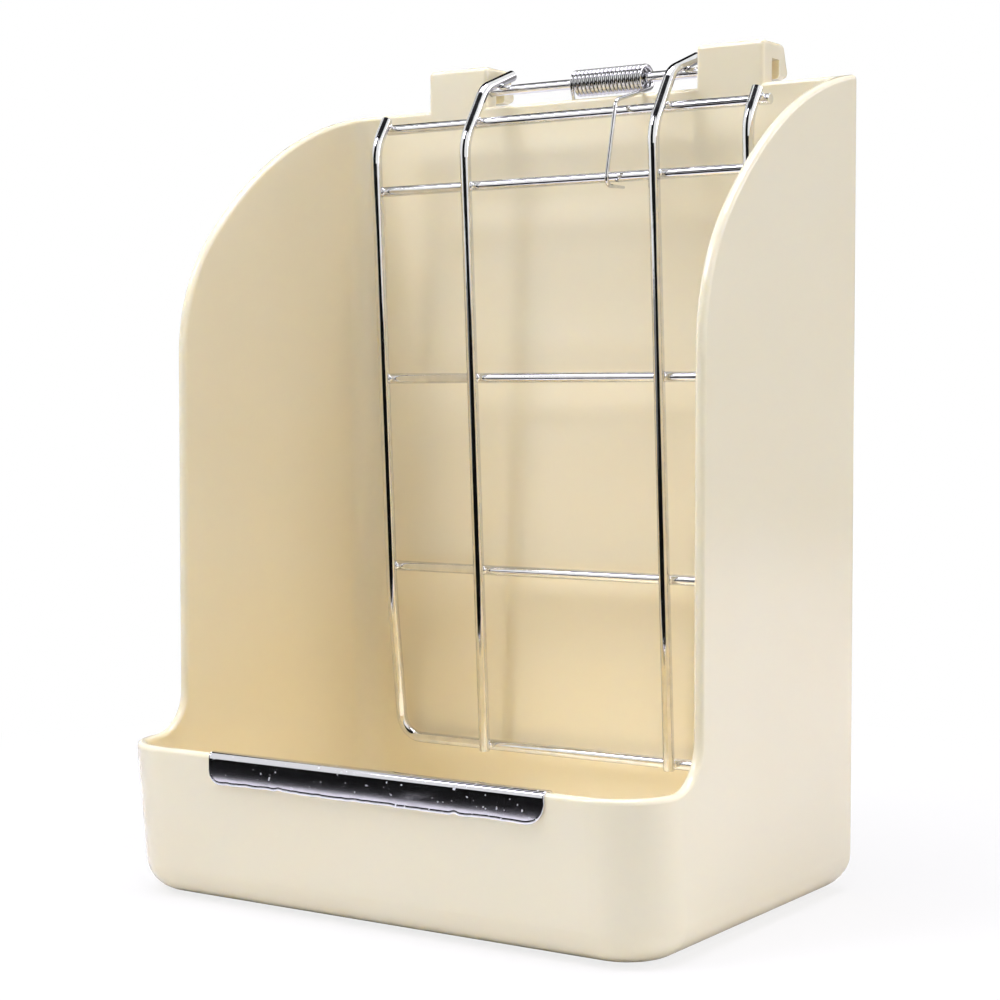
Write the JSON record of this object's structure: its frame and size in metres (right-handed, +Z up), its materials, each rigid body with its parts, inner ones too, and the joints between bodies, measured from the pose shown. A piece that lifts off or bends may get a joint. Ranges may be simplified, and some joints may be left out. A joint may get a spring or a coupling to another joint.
{
  "type": "hay feeder box",
  "caption": "Moulded hay feeder with a front trough, tall side walls and two rear hook blocks, a sprung wire grille holding hay to its back wall, and a metal guard on the trough's rim.",
  "frame": {"origin": "middle of the foot, at mid-depth, where the box stands", "axes": "+Z up, +Y towards the cage wall behind it, +X along the trough to the right seen from the front"},
  "size_m": [0.162, 0.1249, 0.2269],
  "materials": {
    "cream_plastic": "gloss",
    "chrome_wire": "polished",
    "spring_steel": "bright drawn wire",
    "guard_steel": "bright rolled sheet"
  },
  "bodies": {
    "box": {"feeder_body": "cream_plastic", "edge_guard": "guard_steel", "torsion_spring": "spring_steel"},
    "grille": {"perimeter_wire": "chrome_wire", "left_grille_wire": "chrome_wire", "right_grille_wire": "chrome_wire", "top_cross_bar": "chrome_wire", "upper_cross_bar": "chrome_wire", "middle_cross_bar": "chrome_wire", "lower_cross_bar": "chrome_wire", "axle_rod": "chrome_wire"}
  },
  "joints": [
    {"name": "grille_hinge", "type": "hinge", "parent": "box", "child": "grille", "pos_m": [0, 0.04978, 0.21985], "axis": [-1, 0, 0], "range_deg": [-0.5, 80], "stiffness_Nm_per_rad": 0.08, "springref_deg": 9.74, "deforming": ["torsion_spring"]}
  ]
}
